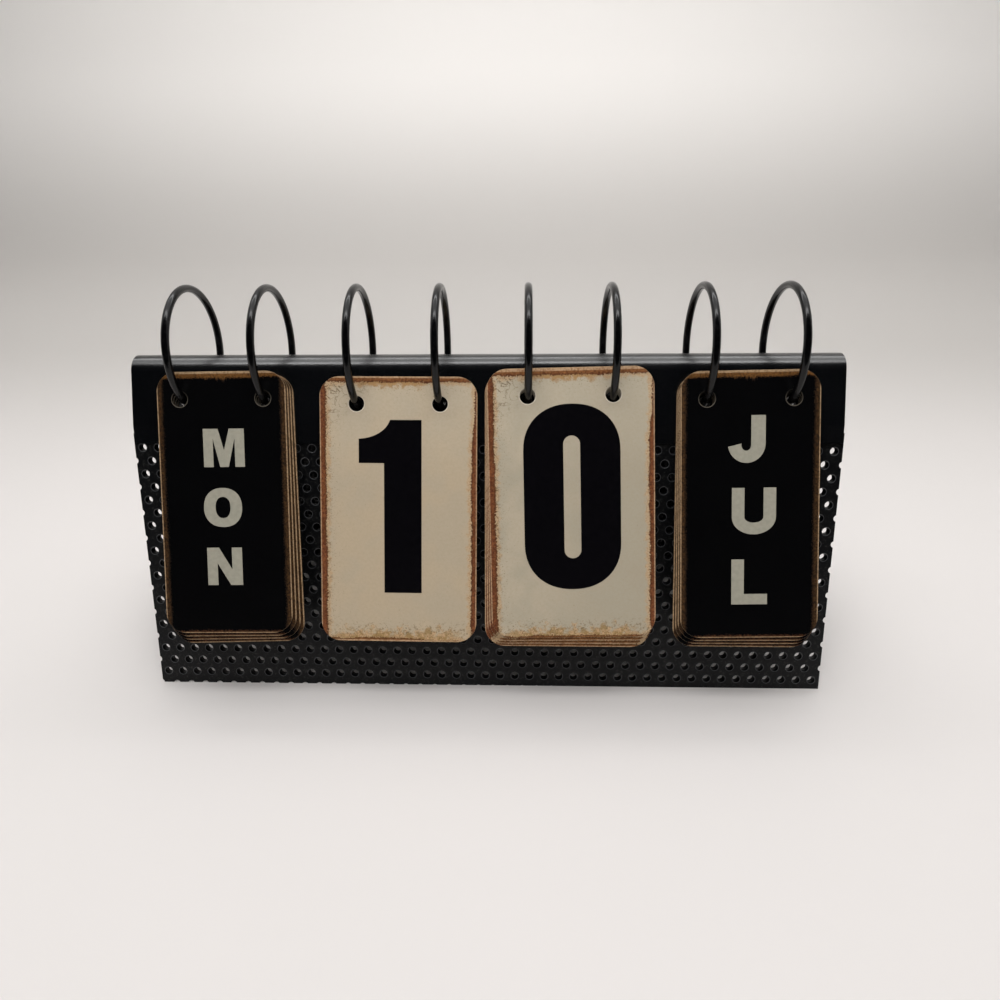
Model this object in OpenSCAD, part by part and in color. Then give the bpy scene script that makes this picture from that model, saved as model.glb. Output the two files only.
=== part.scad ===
// Perpetual desk calendar: an easel of two perforated screens under a folded ridge cap,
// with four pairs of wire rings over the ridge that carry flip-over cards for the day,
// the date and the month. Millimetres, +Z up, +X to the right, +Y to the rear. The
// origin is on the table, under the middle of the whole.

/* [Easel] */
// Width of the two screens
stand_w = 317.5; // [300:0.5:340]
// Height of the ridge above the table
stand_h = 147; // [143:0.5:152]
// Thickness of the sheet metal
sheet_t = 1; // [0.8:0.1:1.2]
// Lean of the screens from upright, in degrees
screen_lean = 17.45; // [16:0.05:19]
// Height of the middle of the lowest row of holes above the table, at its left end
first_row = 0; // [0:0.1:1]
// How far each screen is tucked up behind its lap
screen_tuck = 4.5; // [3:0.1:6]

/* [Ridge cap] */
// How far each end of the cap stays inside the ends of the screens
cap_inset = 0.9; // [0:0.1:3]
// Outer radius of the fold at the ridge
fold_r = 8; // [7.5:0.1:8.5]
// Lean of the cap's skirts from upright, in degrees
skirt_lean = 26; // [25:0.25:27]
// Length of a skirt, from the fold to the bend below it
skirt_l = 24.4; // [24:0.1:26]
// Length of the lap that the screen is fixed behind
lap_l = 8.1; // [6.5:0.1:10]
// Paint film between a lap and its screen
lap_gap = 0.1; // [0.05:0.05:0.3]

/* [Perforation] */
// Diameter of the round holes
hole_d = 4; // [3:0.1:5]
// Distance between the holes, in rows that are staggered by half of it
hole_pitch = 7.05; // [6.5:0.05:8]
// Rows of holes in each screen
hole_rows = 20; // [8:1:20]
// Slope of the rows across the screen, in degrees
hole_skew = 0.3; // [0:0.1:0.6]
// Shallowest notch that a hole leaves in the edge of a screen
notch_min = 0.8; // [0.4:0.1:1.5]

/* [Rings] */
// Diameter of the ring wire
wire_d = 3.4; // [3:0.1:3.6]
// Radius of a ring, to the middle of its wire
ring_r = 27; // [26:0.1:28]
// How far the rings are tipped back from the ridge
ring_back = 7; // [6.5:0.1:7.5]
// Height of the ring centres above the ridge
ring_rise = 0.6; // [0:0.1:1]
// Distance between the two rings of a pair
ring_span = 37.2; // [34:0.1:40]
// Gap between the butted ends of a ring, in degrees
ring_gap = 1.5; // [1:0.5:6]
// Room beside the wire in the slots of the cap
slot_side = 1; // [0.8:0.1:1.5]
// Room beyond the wire at the ends of the slots
slot_end = 0.4; // [0.3:0.05:0.6]

/* [Cards] */
// Thickness of a card
card_t = 0.7; // [0.5:0.05:0.8]
// Radius of the card corners
corner_r = 9; // [4:0.5:12]
// Diameter of the ring holes in the cards
card_hole_d = 6.8; // [6.6:0.1:8]
// Distance from a card's top edge down to its ring holes
hole_drop = 12; // [9:0.5:13]
// Width of the day cards
day_w = 57.6; // [52:0.1:60]
// Width of the cards for the first digit of the date
tens_w = 70.3; // [60:0.1:72.5]
// Width of the cards for the second digit of the date
unit_w = 72.7; // [60:0.1:73.5]
// Width of the month cards
month_w = 60; // [52:0.1:65]
// Height of the day and month cards
word_card_h = 117; // [100:0.5:119]
// Height of the digit cards
digit_card_h = 119; // [100:0.5:121]
// Distance of the middle of each digit stack from the middle of the easel
digit_x = 38; // [37.5:0.1:39]
// Distance of the middle of the day and month stacks from the middle of the easel
word_x = 115.6; // [114:0.1:118]
// Gap between a skirt and the card that lies on it
first_gap = 0.15; // [0.1:0.05:0.3]
// Gap between two cards of a stack
card_gap = 0.4; // [0.2:0.05:0.5]
// How much longer each card is than the one in front of it
card_grow = 1.1; // [0:0.1:1.3]

/* [Hidden] */

// the two sides of the easel
FRONT = 1;
BACK = -1;

// the four stacks from left to right: cards in front (1 lies on the skirt), then behind
stack_name = ["day", "tens", "unit", "month"];
stack_x = [-word_x, -digit_x, digit_x, word_x];
card_w = [day_w, tens_w, unit_w, month_w];
card_h = [word_card_h, digit_card_h, digit_card_h, word_card_h];
front_n = [4, 1, 4, 4];
back_n = [0, 1, 1, 2];

// how far each stack's left and right ring sit to the right in their slots, as a share
// of the room beside the wire
ring_side = [[0.7, -0.2], [-0.2, -0.2], [0.4, 0], [0.2, 0]];

// how the cards of each stack hang: the wire above the middle of the hole, the front
// card's shift to the right and turn of its foot to the right in degrees, and what each
// card behind it adds to the shift, the turn and the width
hang = [0.65, 1, -0.65, 0.75];
back_hang = 1.2;
front_shift = [0, 0.3, 0.1, 0];
front_turn = [0.65, -0.4, 1.2, 1];
fan_shift = [0.35, 0, -0.1, -0.1];
fan_turn = [0.35, 0, -0.4, -0.33];
fan_width = [0.9, 0, 0.5, 0.4];

// the fold, and the top of the front skirt's outer face
cap_w = stand_w - 2*cap_inset;
fold_z = stand_h - fold_r;
skirt_y = -fold_r*cos(skirt_lean);
skirt_z = fold_z + fold_r*sin(skirt_lean);

// the corner between the front skirt and its lap
lap_y = skirt_y - skirt_l*sin(skirt_lean);
lap_z = skirt_z - skirt_l*cos(skirt_lean);

// the screen's outer face at the table, and its length up the slope
foot_y = -lap_y + lap_z*tan(screen_lean) - (sheet_t + lap_gap)/cos(screen_lean);
screen_l = (lap_y + foot_y)*sin(screen_lean) + lap_z*cos(screen_lean) - lap_l + screen_tuck;
row_pitch = hole_pitch*sin(60);

// the ring centre in the frame of a skirt: inward from its face, and up along it
ring_z = stand_h + ring_rise;
function ring_in(side) =
    (side*ring_back - skirt_y)*cos(skirt_lean) - (ring_z - skirt_z)*sin(skirt_lean);
function ring_up(side) =
    (side*ring_back - skirt_y)*sin(skirt_lean) + (ring_z - skirt_z)*cos(skirt_lean);

// where the wire crosses a plane that lies `out` in front of the skirt's face
function wire_up(out, side) =
    ring_up(side) - sqrt(ring_r*ring_r - pow(out + ring_in(side), 2));

// half the height that the wire takes up in a sheet of thickness t at that plane
function wire_half(out, side, t) =
    let (slant = asin(abs(out + ring_in(side))/ring_r))
    wire_d/2/cos(slant) + t/2*tan(slant);

// middle of the slots for a stack's left (-1) or right (1) ring, and of the ring itself
function slot_x(s, end) = stack_x[s] + end*ring_span/2;
function ring_x(s, end) = slot_x(s, end) + slot_side*ring_side[s][(end + 1)/2];

slot_w = wire_d + 2*slot_side;
slot_top = wire_up(-sheet_t/2, FRONT) + wire_half(-sheet_t/2, FRONT, sheet_t) + slot_end;
slot_low = wire_up(-sheet_t/2, BACK) - wire_half(-sheet_t/2, BACK, sheet_t) - slot_end;

// card i of a side, counted from 0 at the skirt: how far out, how many lie before it,
// and its height, width, shift, turn and hang
function card_out(i) = first_gap + card_t/2 + i*(card_t + card_gap);
function before(s, i, side) = side == FRONT ? front_n[s] - 1 - i : 0;
function height(s, i, side) = card_h[s] + before(s, i, side)*card_grow;
function width(s, i, side) = card_w[s] + before(s, i, side)*fan_width[s];
function shift(s, i, side) =
    side == FRONT ? front_shift[s] + before(s, i, side)*fan_shift[s] : 0;
function turn(s, i, side) =
    side == FRONT ? front_turn[s] + before(s, i, side)*fan_turn[s] : 0;
function hole_up(s, i, side) =
    wire_up(card_out(i), side) - (side == FRONT ? hang[s] : back_hang);

// how far a card reaches from the ridge line over the table
function card_low(s, i, side) =
    let (a = abs(turn(s, i, side)))
    hole_up(s, i, side) - corner_r - (width(s, i, side)/2 - corner_r)*sin(a)
        - (height(s, i, side) - hole_drop - corner_r)*cos(a);
function reach(s, i, side) =
    (card_out(i) + card_t/2)*cos(skirt_lean) - skirt_y - card_low(s, i, side)*sin(skirt_lean);
front_reach = max([for (s = [0:3]) for (i = [0:front_n[s] - 1]) reach(s, i, FRONT)]);
back_reach = max([for (s = [1:3]) for (i = [0:back_n[s] - 1]) reach(s, i, BACK)]);
mid_y = (back_reach - front_reach)/2;

eps = 2;
$fn = 48;

// ---------------------------------------------------------------- frames

// everything is drawn from the ridge line, and moved to the middle of the whole here
module placed() {
    translate([0, -mid_y, 0]) children();
}

// the frame of a skirt: x along the ridge, y into the sheet, z up the slope
module on_skirt(side) {
    mirror([0, side == BACK ? 1 : 0, 0])
        translate([0, skirt_y, skirt_z])
            rotate([-skirt_lean, 0, 0])
                children();
}

// ---------------------------------------------------------------- ridge cap

// sheet rolled round the ridge, from one skirt to the other
module fold() {
    translate([0, 0, fold_z])
        rotate([90, 0, 90])
            rotate([0, 0, skirt_lean])
                rotate_extrude(angle = 180 - 2*skirt_lean, $fn = 96)
                    translate([fold_r - sheet_t, -cap_w/2])
                        square([sheet_t, cap_w]);
}

// point of the front side's section: `down` the skirt or the lap, `in` from its face
function skirt_at(down, in) = [
    skirt_y - down*sin(skirt_lean) + in*cos(skirt_lean),
    skirt_z - down*cos(skirt_lean) - in*sin(skirt_lean)];
function lap_at(down, in) = [
    lap_y - down*sin(screen_lean) + in*cos(screen_lean),
    lap_z - down*cos(screen_lean) - in*sin(screen_lean)];

// a skirt and its lap: one strip of sheet, bent at the corner between them
module cap_side(side) {
    bend_in = sheet_t*tan((skirt_lean - screen_lean)/2);
    mirror([0, side == BACK ? 1 : 0, 0])
        translate([-cap_w/2, 0, 0])
            rotate([90, 0, 90])
                linear_extrude(cap_w)
                    polygon([
                        skirt_at(0, 0), skirt_at(skirt_l, 0), lap_at(lap_l, 0),
                        lap_at(lap_l, sheet_t), skirt_at(skirt_l + bend_in, sheet_t),
                        skirt_at(0, sheet_t)]);
}

// upright slot that lets a tipped ring through a skirt
module slot_cut() {
    translate([0, sheet_t + eps, 0])
        rotate([90, 0, 0])
            linear_extrude(sheet_t + 2*eps) {
                for (z = [slot_low + slot_w/2, slot_top - slot_w/2])
                    translate([0, z])
                        circle(d = slot_w);
                translate([-slot_w/2, slot_low + slot_w/2])
                    square([slot_w, slot_top - slot_low - slot_w]);
            }
}

module ridge_cap() {
    color([0.16, 0.16, 0.17])
        placed()
            difference() {
                union() {
                    fold();
                    for (side = [FRONT, BACK])
                        cap_side(side);
                }
                for (side = [FRONT, BACK], s = [0:3], end = [-1, 1])
                    on_skirt(side)
                        translate([slot_x(s, end), 0, 0])
                            slot_cut();
            }
}

// ---------------------------------------------------------------- screens

// staggered rows of holes; a hole that would only nick the foot is left out
module perforation() {
    for (row = [0:hole_rows - 1])
        let (start = row % 2 == 0 ? 0 : hole_pitch/2)
            for (along = [start:hole_pitch:stand_w + 0.01])
                let (up = row*row_pitch - along*tan(hole_skew) + first_row)
                    if (up + hole_d/2 > notch_min)
                        translate([along - stand_w/2, up])
                            circle(d = hole_d, $fn = 24);
}

// perforated screen in the front's place, cut flat where it stands on the table
module screen() {
    difference() {
        translate([0, -foot_y, 0])
            rotate([-screen_lean, 0, 0])
                translate([0, sheet_t, 0])
                    rotate([90, 0, 0])
                        linear_extrude(sheet_t)
                            difference() {
                                translate([-stand_w/2, 0])
                                    square([stand_w, screen_l]);
                                perforation();
                            }
        translate([-stand_w/2 - eps, -foot_y - eps, -eps])
            cube([stand_w + 2*eps, 3*eps, eps]);
    }
}

module front_screen() {
    color([0.1, 0.1, 0.11])
        placed()
            screen();
}

module back_screen() {
    color([0.1, 0.1, 0.11])
        placed()
            rotate([0, 0, 180])
                screen();
}

// ---------------------------------------------------------------- rings

// split wire ring of stack s, at its left (-1) or right (1) hole; its ends meet below
module ring(s, end) {
    color([0.05, 0.05, 0.06])
        placed()
            translate([ring_x(s, end), ring_back, ring_z])
                rotate([0, 90, 0])
                    rotate([0, 0, ring_gap/2])
                        rotate_extrude(angle = 360 - ring_gap, $fn = 96)
                            translate([ring_r, 0])
                                circle(d = wire_d, $fn = 32);
}

// ---------------------------------------------------------------- cards

// rectangle with round corners, from its lower left corner
module rounded(w, h, r) {
    translate([r, 0])
        square([w - 2*r, h]);
    translate([0, r])
        square([w, h - 2*r]);
    for (x = [r, w - r], y = [r, h - r])
        translate([x, y])
            circle(r = r);
}

// card i of stack s on a side, with its two holes over the wires
module card(s, i, side) {
    h = height(s, i, side);
    w = width(s, i, side);
    color(s == 1 || s == 2 ? [0.72, 0.67, 0.56] : [0.08, 0.07, 0.07])
        placed()
            on_skirt(side)
                translate([stack_x[s] + shift(s, i, side), -card_out(i), hole_up(s, i, side)])
                    rotate([90, -turn(s, i, side), 0])
                        translate([0, 0, -card_t/2])
                            linear_extrude(card_t)
                                difference() {
                                    translate([-w/2, hole_drop - h])
                                        rounded(w, h, corner_r);
                                    for (end = [-1, 1])
                                        translate([end*ring_span/2, 0])
                                            circle(d = card_hole_d);
                                }
}

// ---------------------------------------------------------------- nodes

ridge_cap();
front_screen();
back_screen();

for (s = [0:3]) {
    ring(s, -1);
    ring(s, 1);
    for (i = [0:front_n[s] - 1])
        card(s, i, FRONT);
    if (back_n[s] > 0)
        for (i = [0:back_n[s] - 1])
            card(s, i, BACK);
}
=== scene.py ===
"""Looks of the perpetual desk calendar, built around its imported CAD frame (metres, +Z up)."""
import math

import bmesh
import bpy
from mathutils import Matrix, Vector


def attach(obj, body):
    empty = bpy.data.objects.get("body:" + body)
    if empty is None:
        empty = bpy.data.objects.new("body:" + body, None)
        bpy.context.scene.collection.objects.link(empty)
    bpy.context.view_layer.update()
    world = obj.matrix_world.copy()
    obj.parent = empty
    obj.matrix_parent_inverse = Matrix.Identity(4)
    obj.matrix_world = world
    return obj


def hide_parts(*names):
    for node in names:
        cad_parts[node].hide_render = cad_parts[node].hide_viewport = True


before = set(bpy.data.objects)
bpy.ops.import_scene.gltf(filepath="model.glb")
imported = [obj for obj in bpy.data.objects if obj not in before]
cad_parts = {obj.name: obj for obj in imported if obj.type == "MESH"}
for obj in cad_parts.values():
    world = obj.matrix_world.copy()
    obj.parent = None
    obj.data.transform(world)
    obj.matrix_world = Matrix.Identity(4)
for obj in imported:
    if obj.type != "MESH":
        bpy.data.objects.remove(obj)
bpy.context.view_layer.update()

MM = 0.001

# ------------------------------------------------------------------ what the cards show

# a stack's faces, from the card on the front skirt outwards, then those behind:
# (the face towards the reader at rest in front, the face on its back)
STACKS = {
    "day": (["THU", "WED", "TUE", "MON"], [], ["FRI", "SAT", "SUN", ""]),
    "tens": (["1"], ["0"], ["2", "3"]),
    "unit": (["3", "2", "1", "0"], ["4"], ["8", "7", "6", "5", "9"]),
    "month": (["OCT", "SEP", "AUG", "JUL"], ["MAY", "JUN"],
              ["FEB", "JAN", "DEC", "NOV", "MAR", "APR"]),
}

# how the words are set, in millimetres: letter height, pitch, top of the first letter
# below the card's top edge, and how much wider than the day's letters they are
WORD_SET = {"day": (16.95, 26.5, 25.15, 1.0), "month": (20.0, 31.4, 19.3, 1.097)}
# sideways place of each letter, and of the letters of all other words
LETTER_SHIFT = {"MON": (0.4, -1.0, -1.1), "JUL": (-1.5, 1.8, 0.05)}
WORD_SHIFT = -0.4
DIGIT_TOP = {"0": 15.65, "1": 19.1}     # top of a digit below the card's top edge
DIGIT_SHIFT = 0.25

# ------------------------------------------------------------------ glyph outlines


def arc(cx, cy, rx, ry, start, end, steps=20):
    """Points along an ellipse from one angle to another, in degrees."""
    points = []
    for i in range(steps + 1):
        a = math.radians(start + (end - start)*i/steps)
        points.append((cx + rx*math.cos(a), cy + ry*math.sin(a)))
    return points


def stadium(cx, low, high, rx, ry):
    """Upright slot with round ends."""
    return arc(cx, high - ry, rx, ry, 0, 180) + arc(cx, low + ry, rx, ry, 180, 360)


def oval(cx, cy, rx, ry, power=2.25, steps=56):
    """Ellipse with slightly square shoulders."""
    points = []
    for i in range(steps):
        a = 2*math.pi*i/steps
        c, s = math.cos(a), math.sin(a)
        x = math.copysign(abs(c)**(2/power), c)
        y = math.copysign(abs(s)**(2/power), s)
        points.append((cx + rx*x, cy + ry*y))
    return points


# widths of the letters as shares of their height
LETTER_WIDTH = {
    "M": 1.084, "O": 1.015, "N": 0.933, "J": 0.737, "U": 0.87, "L": 0.71, "T": 0.84, "E": 0.76,
    "W": 1.34, "D": 0.90, "H": 0.93, "F": 0.73, "R": 0.94, "I": 0.30, "S": 0.86, "A": 1.00,
    "Y": 0.96, "G": 0.96, "C": 0.93, "P": 0.84, "V": 0.98, "B": 0.90,
}


def letter(char, w, h):
    """Outlines of a heavy grotesque capital in the box w by h: its body, then its holes."""
    s = 0.272*h     # upright stroke
    t = 0.232*h     # level stroke
    cx, mid = w/2, h/2
    if char == "I":
        return [[(0, 0), (0, h), (w, h), (w, 0)]]
    if char == "L":
        return [[(0, 0), (0, h), (s, h), (s, t), (w, t), (w, 0)]]
    if char == "T":
        return [[(cx - s/2, 0), (cx - s/2, h - t), (0, h - t), (0, h), (w, h),
                 (w, h - t), (cx + s/2, h - t), (cx + s/2, 0)]]
    if char in "EF":
        low, high = mid - t*0.42, mid + t*0.42
        bar = [(s, low), (w*0.92, low), (w*0.92, high), (s, high)]
        foot = [(w, 0), (w, t*0.94), (s, t*0.94)] if char == "E" else [(s, 0)]
        return [[(0, 0)] + foot + bar + [(s, h - t*0.94), (w, h - t*0.94), (w, h), (0, h)]]
    if char == "H":
        return [[(0, 0), (0, h), (s, h), (s, mid + t/2), (w - s, mid + t/2), (w - s, h), (w, h),
                 (w, 0), (w - s, 0), (w - s, mid - t/2), (s, mid - t/2), (s, 0)]]
    if char == "N":
        return [[(0, 0), (0, h), (s*1.18, h), (w - s, h*0.42), (w - s, h), (w, h), (w, 0),
                 (w - s*1.18, 0), (s, h*0.58), (s, 0)]]
    if char == "M":
        return [[(0, 0), (0, h), (w*0.365, h), (cx, h*0.44), (w*0.635, h), (w, h), (w, 0),
                 (w*0.765, 0), (w*0.765, h*0.74), (w*0.605, 0), (w*0.395, 0),
                 (w*0.235, h*0.74), (w*0.235, 0)]]
    if char == "W":
        return [[(w*0.16, 0), (0, h), (w*0.2, h), (w*0.285, h*0.42), (w*0.39, h), (w*0.61, h),
                 (w*0.715, h*0.42), (w*0.8, h), (w, h), (w*0.84, 0), (w*0.62, 0),
                 (cx, h*0.56), (w*0.38, 0)]]
    if char == "V":
        return [[(w*0.36, 0), (0, h), (w*0.3, h), (cx, h*0.34), (w*0.7, h), (w, h), (w*0.64, 0)]]
    if char == "A":
        return [[(0, 0), (w*0.35, h), (w*0.65, h), (w, 0), (w*0.71, 0), (w*0.655, h*0.17),
                 (w*0.345, h*0.17), (w*0.29, 0)],
                [(w*0.41, h*0.37), (cx, h*0.7), (w*0.59, h*0.37)]]
    if char == "Y":
        return [[(cx - s/2, 0), (cx - s/2, h*0.38), (0, h), (w*0.32, h), (cx, h*0.62),
                 (w*0.68, h), (w, h), (cx + s/2, h*0.38), (cx + s/2, 0)]]
    if char == "O":
        return [oval(cx, mid, w/2, h*0.516), oval(cx, mid, w/2 - 0.31*h, h*0.28)]
    if char == "U":
        bend = 0.36*h
        return [[(0, h)] + arc(cx, bend, cx, bend + 0.022*h, 180, 360)
                + [(w, h), (w - s, h)] + arc(cx, bend, cx - s, bend - t*1.02, 360, 180) + [(s, h)]]
    if char == "J":
        bend, hook, stem = 0.39*h, 0.29*h, 0.31*h
        inner = (w - stem - hook)/2
        return [[(w, h)] + arc(cx, bend, cx, bend + 0.03*h, 360, 189)
                + arc(hook + inner, 0.36*h, inner, 0.125*h, 165, 360) + [(w - stem, h)]]
    if char in "DPRB":
        return stemmed_letter(char, w, h, s, t)
    return open_letter(char, w, h, s, t)


def bowl(w, low, high):
    """Right side of a bowl, from its lower left end to its upper left end."""
    r = (high - low)/2
    return arc(w - min(r, w*0.5), low + r, min(r, w*0.5), r, -90, 90)


def stemmed_letter(char, w, h, s, t):
    """D, P, R and B: an upright stem with one or two bowls."""
    waist = 0.43*h if char in "PR" else 0.49*h
    inner = w - s*1.02
    if char == "D":
        return [[(0, 0)] + bowl(w, 0, h) + [(0, h)],
                [(s, t)] + bowl(inner, t, h - t) + [(s, h - t)]]
    upper = [(s, waist + t*0.8)] + bowl(inner, waist + t*0.8, h - t*0.9) + [(s, h - t*0.9)]
    if char == "P":
        return [[(0, 0), (s, 0), (s, waist)] + bowl(w, waist, h) + [(0, h)], upper]
    if char == "R":
        leg = [(s, 0), (s, waist), (w*0.44, waist), (w*0.7, 0), (w, 0), (w*0.76, waist*1.06)]
        return [[(0, 0)] + leg + bowl(w*0.97, waist, h)[6:] + [(0, h)], upper]
    lower = [(s, t*0.9)] + bowl(inner, t*0.9, waist - t*0.12) + [(s, waist - t*0.12)]
    lift = [(s, waist + t*0.68)] + bowl(inner*0.97, waist + t*0.68, h - t*0.9) + [(s, h - t*0.9)]
    return [[(0, 0)] + bowl(w, 0, h*0.55)[:-5] + bowl(w*0.96, h*0.45, h)[5:] + [(0, h)],
            lower, lift]


def open_letter(char, w, h, s, t):
    """C, G and S: bent strokes with level or cut ends."""
    cx, mid = w/2, h/2
    if char == "S":
        r = (h - t)/4
        high, low = h - t/2 - r, t/2 + r
        big = (cx, r + t/2)
        small = (cx - s*0.92, r - t/2)
        return [arc(cx, high, *big, 12, 270) + arc(cx, low, *small, 90, -168)
                + arc(cx, low, *big, -168, 90) + arc(cx, high, *small, 270, 12)]
    ring = arc(cx, mid, cx, mid, 30, 330, 36)
    hollow = arc(cx, mid, cx - s, mid - t, 330 if char == "C" else 300, 30, 36)
    if char == "C":
        return [ring + hollow]
    bar = [(w, h*0.14), (w, h*0.54), (cx*1.04, h*0.54), (cx*1.04, h*0.36), (w - s, h*0.36)]
    return [ring[:-3] + bar + hollow[2:]]


DIGIT_W, DIGIT_H = 42.4, 81.6
ONE_W, ONE_H = 28.1, 77.6
ONE_LEFT = -17.7        # left side of the 1, from the card's middle


def digit(char):
    """Outlines of a tall heavy digit in millimetres, with narrow slots for its counters."""
    w, h = DIGIT_W, DIGIT_H
    cx, mid = w/2, h/2
    slot = 3.7              # half the width of a counter
    cap = 13.8              # stroke above and below a counter
    rx, ry = w/2, 20.4      # the outer curves at the top and bottom
    top, low = h - ry, ry
    left, right = cx - slot, cx + slot
    roof, floor = h - cap - slot, cap + slot
    if char == "0":
        dome = [p for p in oval(cx, top, rx, ry, 2.2, 64) if p[1] >= top - 0.01]
        return [dome + [(w - x, h - y) for x, y in dome],
                stadium(cx, cap, h - cap, slot, slot)]
    if char == "1":
        # the flag springs from a concave curve to the top of the stem
        flag = arc(-0.8, ONE_H + 2.3, 15.2, 10.7, -87, -12.4, 14)
        return [[(0, 58.4)] + flag + [(ONE_W, ONE_H), (ONE_W, 0), (11.3, 0), (11.3, 58.4)]]
    if char == "8":
        return [arc(cx, top, rx, ry, 0, 180) + arc(7, mid, 5.4, 5, 150, 210, 6)
                + arc(cx, low, rx, ry, 180, 360) + arc(w - 7, mid, 5.4, 5, -30, 30, 6),
                stadium(cx, mid + 5.6, h - cap, slot, slot),
                stadium(cx, cap, mid - 5.6, slot, slot)]
    if char in "69":
        body = ([(w, mid + 15)] + arc(cx, top, rx, ry, 0, 180) + arc(cx, low, rx, ry, 180, 360)
                + arc(w - 14, mid - 4, 14, 13, 0, 90) + [(left, mid + 9)]
                + arc(cx, roof, slot, slot, 180, 0) + [(right, mid + 15)])
        hole = stadium(cx, cap, mid - 3, slot, slot)
        if char == "6":
            return [body, hole]
        return [[(w - x, h - y) for x, y in line] for line in (body, hole)]
    if char == "3":
        waist = arc(w - 9, mid + 6, 9, 8, 0, -55, 6) + arc(w - 9, mid - 6, 9, 8, 55, 0, 6)
        return [[(0, mid + 15)] + arc(cx, top, rx, ry, 180, 0) + waist
                + arc(cx, low, rx, ry, 0, -180) + [(0, mid - 15), (left, mid - 15)]
                + arc(cx, floor, slot, slot, -180, 0) + arc(right - 7, mid - 12, 7, 6, 0, 90, 8)
                + arc(right - 7, mid + 12, 7, 6, -90, 0, 8)
                + arc(cx, roof, slot, slot, 0, 180) + [(left, mid + 15)]]
    if char == "2":
        return [[(0, mid + 14)] + arc(cx, top, rx, ry, 180, 0) + [(w, mid + 8), (w - 2, mid),
                (20, 15.5), (w, 15.5), (w, 0), (0, 0), (0, 14), (right - 3, mid + 2),
                (right, mid + 10)] + arc(cx, roof, slot, slot, 0, 180) + [(left, mid + 14)]]
    if char == "5":
        return [[(1.5, mid - 4), (1.5, h), (w - 2, h), (w - 2, h - 15), (17, h - 15),
                 (17, mid + 9)] + arc(w - 16, mid - 1, 16, 11, 90, 0, 8)
                + arc(cx, low, rx, ry, 0, -180) + [(0, mid - 13), (left, mid - 13)]
                + arc(cx, floor, slot, slot, -180, 0) + arc(cx, mid - 6, slot, slot, 0, 180, 8)]
    if char == "4":
        return [[(21, 0), (21, 15.5), (0, 15.5), (0, 29), (17.5, h), (37.5, h), (37.5, 30.5),
                 (w, 30.5), (w, 15.5), (37.5, 15.5), (37.5, 0)],
                [(13.5, 30.5), (21, 58), (21, 30.5)]]
    return [[(0, h), (w, h), (w, h - 17), (w*0.53, 0), (w*0.12, 0), (w - 19, h - 16),
             (0, h - 16)]]


def face_outlines(stack, text, card_h):
    """The outlines of a face in card millimetres: x from its middle, y from its middle."""
    shapes = []
    if stack in WORD_SET:
        height, pitch, first, widen = WORD_SET[stack]
        for i, char in enumerate(text):
            width = LETTER_WIDTH[char]*height*widen
            dx = LETTER_SHIFT[text][i] if text in LETTER_SHIFT else WORD_SHIFT
            low = card_h/2 - first - i*pitch - height
            for line in letter(char, width, height):
                shapes.append([(x - width/2 + dx, y + low) for x, y in line])
        return shapes
    for char in text:
        height = ONE_H if char == "1" else DIGIT_H
        left = ONE_LEFT if char == "1" else DIGIT_SHIFT - DIGIT_W/2
        low = card_h/2 - DIGIT_TOP.get(char, DIGIT_TOP["0"]) - height
        for line in digit(char):
            shapes.append([(x + left, y + low) for x, y in line])
    return shapes


# ------------------------------------------------------------------ flat pieces


def flat_mesh(name, outlines, thickness, bevel=0.0, rounding=2):
    """Mesh of a plate around z = 0 from nested outlines in millimetres, with soft edges."""
    curve = bpy.data.curves.new(name, "CURVE")
    curve.dimensions = "2D"
    curve.fill_mode = "BOTH"
    curve.extrude = (thickness/2 - bevel)*MM
    curve.bevel_depth = bevel*MM
    curve.bevel_resolution = rounding
    curve.offset = -bevel*MM
    for line in outlines:
        spline = curve.splines.new("POLY")
        spline.points.add(len(line) - 1)
        spline.use_cyclic_u = True
        for point, (x, y) in zip(spline.points, line):
            point.co = (x*MM, y*MM, 0, 1)
    holder = bpy.data.objects.new(name + "_outline", curve)
    bpy.context.scene.collection.objects.link(holder)
    bpy.context.view_layer.update()
    mesh = bpy.data.meshes.new_from_object(holder.evaluated_get(
        bpy.context.evaluated_depsgraph_get()))
    mesh.name = name
    bpy.data.objects.remove(holder)
    bpy.data.curves.remove(curve)
    return mesh


def joined(name, parts):
    """One mesh from (mesh, matrix) pairs."""
    made = bmesh.new()
    for mesh, matrix in parts:
        mesh.transform(matrix)
        made.from_mesh(mesh)
        bpy.data.meshes.remove(mesh)
    out = bpy.data.meshes.new(name)
    made.to_mesh(out)
    made.free()
    return out


def new_object(name, mesh, material, matrix=Matrix.Identity(4)):
    obj = bpy.data.objects.new(name, mesh)
    bpy.context.scene.collection.objects.link(obj)
    mesh.materials.clear()
    mesh.materials.append(material)
    obj.matrix_world = matrix
    return obj


# ------------------------------------------------------------------ material nodes


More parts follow.
